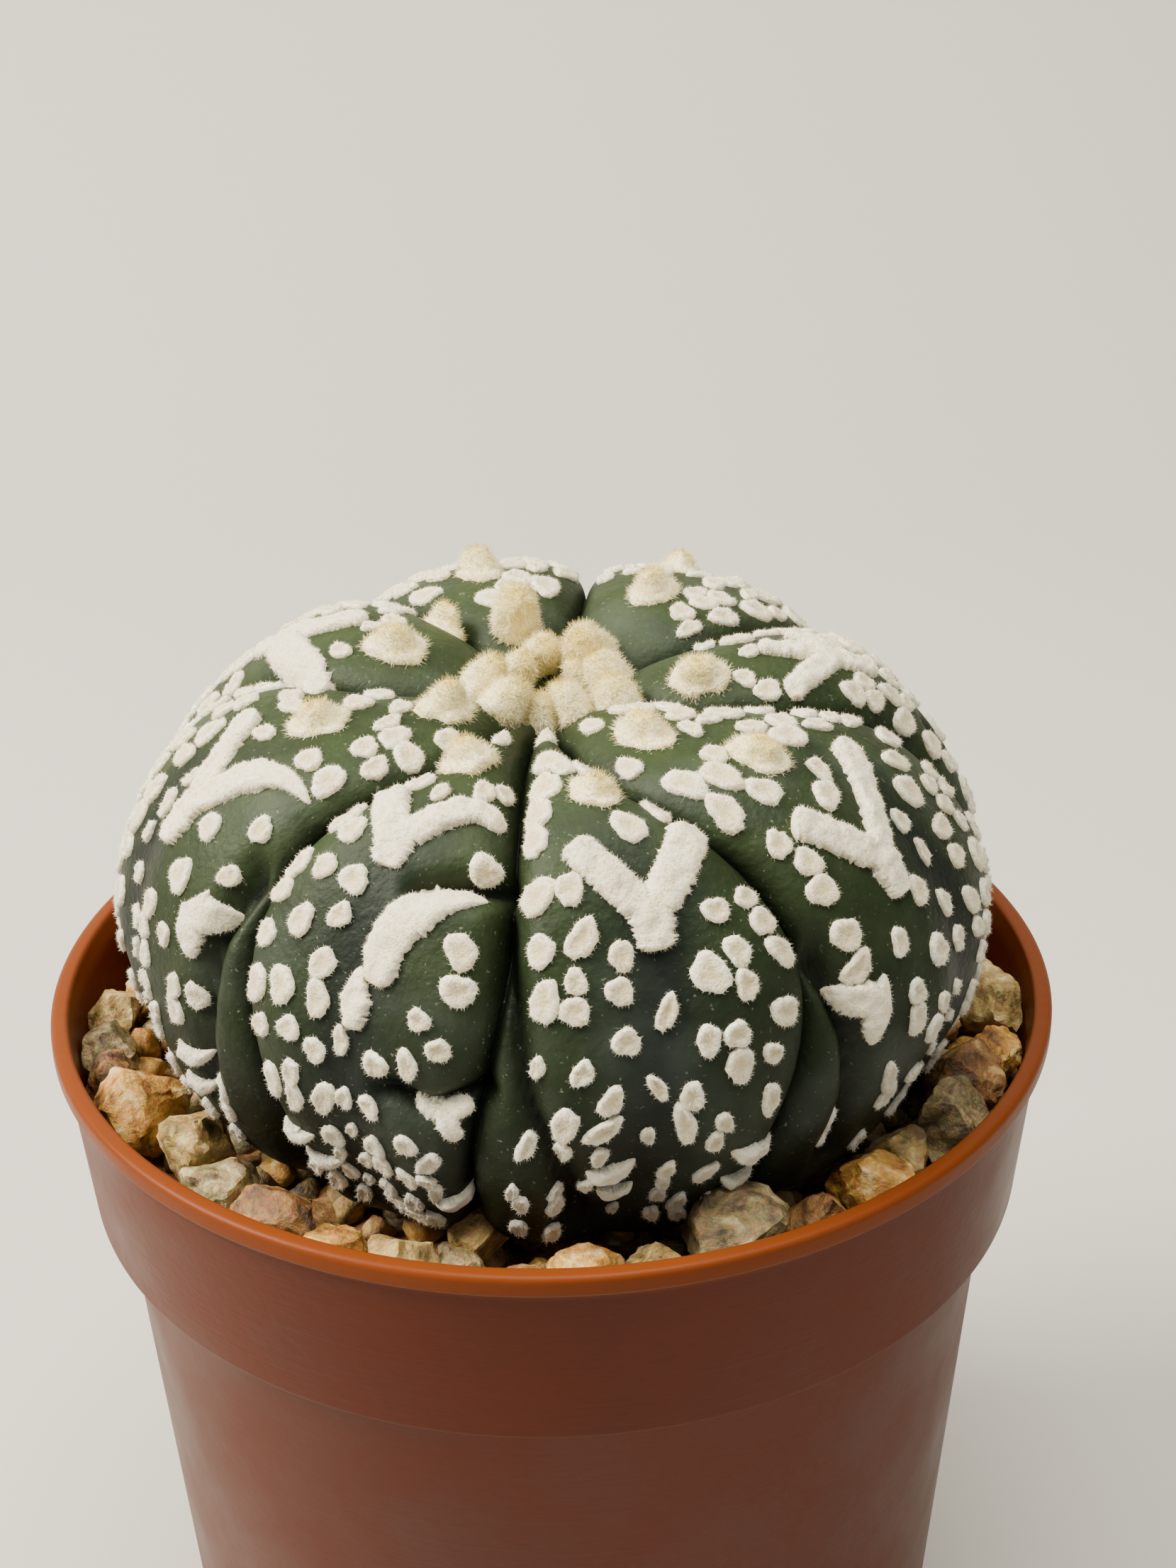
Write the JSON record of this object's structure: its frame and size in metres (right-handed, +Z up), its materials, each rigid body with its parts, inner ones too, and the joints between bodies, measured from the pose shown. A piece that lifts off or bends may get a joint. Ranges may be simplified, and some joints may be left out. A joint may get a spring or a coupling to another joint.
{
  "type": "potted star cactus",
  "caption": "Low, ribbed star cactus with white woolly flecks and wool-tufted areoles, set in quartz grit and soil in a round plastic nursery pot with a banded rim.",
  "frame": {"origin": "centre of the pot's foot, on the surface that it stands on", "axes": "+Z up through the pot's axis; -Y is the front, the side seen in the reference view; +X is to the right of it"},
  "size_m": [0.09, 0.09, 0.1133],
  "materials": {
    "pot_plastic": "terracotta-brown moulded polypropylene, satin",
    "potting_mix": "dark mineral potting mix, damp and crumbly",
    "grit_bed": "packed quartz grit",
    "quartz_ochre": "ochre-stained quartz, worn",
    "quartz_tan": "tan quartz, worn",
    "quartz_grey": "grey milky quartz, worn",
    "quartz_brown": "rust-brown flint, worn",
    "cactus_skin": "matt waxy green skin with a grey bloom",
    "white_fleck": "felted white hair scales",
    "areole_wool": "cream to straw plant wool"
  },
  "bodies": {
    "root": {"pot": "pot_plastic", "potting_mix": "potting_mix", "grit_bed": "grit_bed", "cactus": "cactus_skin", "stone_01": "quartz_tan", "stone_02": "quartz_grey", "stone_03": "quartz_brown", "stone_04": "quartz_ochre", "stone_05": "quartz_tan", "stone_06": "quartz_grey", "stone_07": "quartz_brown", "stone_08": "quartz_ochre", "stone_09": "quartz_tan", "stone_10": "quartz_grey", "stone_11": "quartz_brown", "stone_12": "quartz_ochre", "stone_13": "quartz_tan", "stone_14": "quartz_grey", "stone_15": "quartz_brown", "stone_16": "quartz_ochre", "stone_17": "quartz_tan", "stone_18": "quartz_grey", "stone_19": "quartz_brown", "stone_20": "quartz_ochre", "stone_21": "quartz_tan", "stone_22": "quartz_grey", "stone_23": "quartz_brown", "stone_24": "quartz_ochre", "stone_25": "quartz_tan", "stone_26": "quartz_grey", "stone_27": "quartz_brown", "stone_28": "quartz_ochre", "stone_29": "quartz_tan", "stone_30": "quartz_grey", "stone_31": "quartz_brown", "stone_32": "quartz_ochre", "stone_33": "quartz_tan", "stone_34": "quartz_grey", "stone_35": "quartz_brown", "stone_36": "quartz_ochre", "stone_37": "quartz_tan", "stone_38": "quartz_grey", "stone_39": "quartz_brown", "stone_40": "quartz_ochre", "stone_41": "quartz_tan", "stone_42": "quartz_grey", "stone_43": "quartz_brown", "stone_44": "quartz_ochre", "stone_45": "quartz_tan", "stone_46": "quartz_grey", "stone_47": "quartz_brown", "stone_48": "quartz_ochre", "stone_49": "quartz_tan", "stone_50": "quartz_grey", "stone_51": "quartz_brown", "stone_52": "quartz_ochre", "stone_53": "quartz_tan", "stone_54": "quartz_grey", "stone_55": "quartz_brown", "stone_56": "quartz_ochre"}
  },
  "joints": []
}
